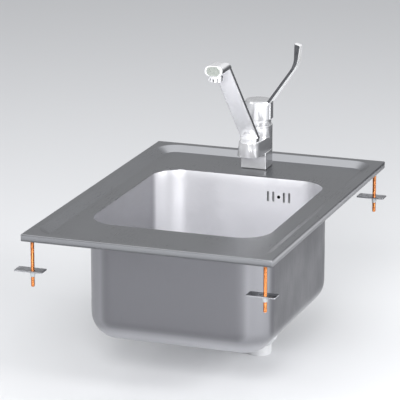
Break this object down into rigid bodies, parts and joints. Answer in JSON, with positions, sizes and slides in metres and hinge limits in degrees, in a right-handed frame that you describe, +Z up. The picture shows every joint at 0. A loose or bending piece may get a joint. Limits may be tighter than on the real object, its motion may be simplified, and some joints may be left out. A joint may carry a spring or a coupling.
{
  "type": "drop-in sink",
  "caption": "Drop-in stainless sink with one deep bowl, recessed deck, single-lever mixer tap with swivelling spout, basket waste, overflow and corner clamps.",
  "frame": {"origin": "centre of the plane where the rim rests on the worktop", "axes": "+Z up, +Y from the user towards the tap, +X to the user's right"},
  "size_m": [0.4848, 0.6944, 0.564],
  "materials": {
    "stainless_deck": "satin, fine brushed grain",
    "stainless_bowl": "satin, deep-drawn sheet",
    "stainless_fitting": "bright",
    "chrome": "polished chrome plate",
    "satin_disc": "satin chrome",
    "brass": "machined",
    "copper_rod": "copper-coloured plating",
    "plated_steel": "zinc plated",
    "nut_white": "moulded",
    "black_rubber": "matt",
    "white_plastic": "moulded"
  },
  "bodies": {
    "sink": {"deck_pressing": "stainless_deck", "bowl_pressing": "stainless_bowl", "rim_seal": "black_rubber", "weld_nuts": "stainless_deck", "clamp_rods": "copper_rod", "strainer_cup": "stainless_fitting", "waste_gasket": "black_rubber", "lower_washer": "black_rubber", "waste_body": "white_plastic", "outlet_ring_nut": "white_plastic", "waste_outlet": "white_plastic", "waste_screw": "stainless_fitting", "overflow_gasket": "black_rubber", "overflow_housing": "white_plastic", "overflow_screw": "stainless_fitting", "tap_body": "chrome", "tap_base_gasket": "black_rubber", "tap_shank": "brass", "rubber_washer": "black_rubber", "steel_washer": "stainless_fitting", "fixing_nut": "brass", "cartridge": "white_plastic", "cartridge_nut": "chrome", "spout_post": "brass", "spout_o_rings": "black_rubber", "swivel_washer": "white_plastic"},
    "basket": {"basket_strainer": "stainless_fitting", "basket_knob": "chrome", "basket_seal": "black_rubber"},
    "carrier": {"cartridge_carrier": "white_plastic", "pivot_pin": "stainless_fitting"},
    "handle": {"spindle": "brass", "handle_cap": "chrome", "handle_grub_screw": "stainless_fitting", "lever": "chrome"},
    "spout": {"spout": "chrome", "spout_boss": "chrome", "nose_plug": "satin_disc", "spout_retaining_screw": "stainless_fitting", "aerator_housing": "chrome", "aerator_insert": "white_plastic"},
    "clamp_nut_front_left": {"clamp_nut_front_left": "nut_white"},
    "clamp_plate_front_left": {"clamp_plate_front_left": "plated_steel"},
    "clamp_nut_front_right": {"clamp_nut_front_right": "nut_white"},
    "clamp_plate_front_right": {"clamp_plate_front_right": "plated_steel"},
    "clamp_nut_back_left": {"clamp_nut_back_left": "nut_white"},
    "clamp_plate_back_left": {"clamp_plate_back_left": "plated_steel"},
    "clamp_nut_back_right": {"clamp_nut_back_right": "nut_white"},
    "clamp_plate_back_right": {"clamp_plate_back_right": "plated_steel"}
  },
  "joints": [
    {"name": "spout_swivel", "type": "hinge", "parent": "sink", "child": "spout", "pos_m": [0, 0.219, 0.0634], "axis": [0, 0, 1], "range_deg": [-70, 70]},
    {"name": "handle_turn", "type": "hinge", "parent": "sink", "child": "carrier", "pos_m": [0, 0.272, 0.0924], "axis": [0, 0, 1], "range_deg": [-45, 45]},
    {"name": "handle_lift", "type": "hinge", "parent": "carrier", "child": "handle", "pos_m": [0, 0.272, 0.0924], "axis": [0, -1, 0], "range_deg": [0, 18]},
    {"name": "basket_lift", "type": "slide", "parent": "sink", "child": "basket", "axis": [0, 0, 1], "range_m": [0, 0.06]},
    {"name": "front_left_nut_travel", "type": "slide", "parent": "sink", "child": "clamp_nut_front_left", "axis": [0, 0, 1], "range_m": [-0.016, 0.044]},
    {"name": "front_left_plate_swivel", "type": "hinge", "parent": "clamp_nut_front_left", "child": "clamp_plate_front_left", "pos_m": [-0.2159, -0.3309, -0.058], "axis": [0, 0, 1], "continuous": true},
    {"name": "front_right_nut_travel", "type": "slide", "parent": "sink", "child": "clamp_nut_front_right", "axis": [0, 0, 1], "range_m": [-0.016, 0.044]},
    {"name": "front_right_plate_swivel", "type": "hinge", "parent": "clamp_nut_front_right", "child": "clamp_plate_front_right", "pos_m": [0.2159, -0.3309, -0.058], "axis": [0, 0, 1], "continuous": true},
    {"name": "back_left_nut_travel", "type": "slide", "parent": "sink", "child": "clamp_nut_back_left", "axis": [0, 0, 1], "range_m": [-0.016, 0.044]},
    {"name": "back_left_plate_swivel", "type": "hinge", "parent": "clamp_nut_back_left", "child": "clamp_plate_back_left", "pos_m": [-0.2159, 0.3309, -0.058], "axis": [0, 0, 1], "continuous": true},
    {"name": "back_right_nut_travel", "type": "slide", "parent": "sink", "child": "clamp_nut_back_right", "axis": [0, 0, 1], "range_m": [-0.016, 0.044]},
    {"name": "back_right_plate_swivel", "type": "hinge", "parent": "clamp_nut_back_right", "child": "clamp_plate_back_right", "pos_m": [0.2159, 0.3309, -0.058], "axis": [0, 0, 1], "continuous": true}
  ]
}
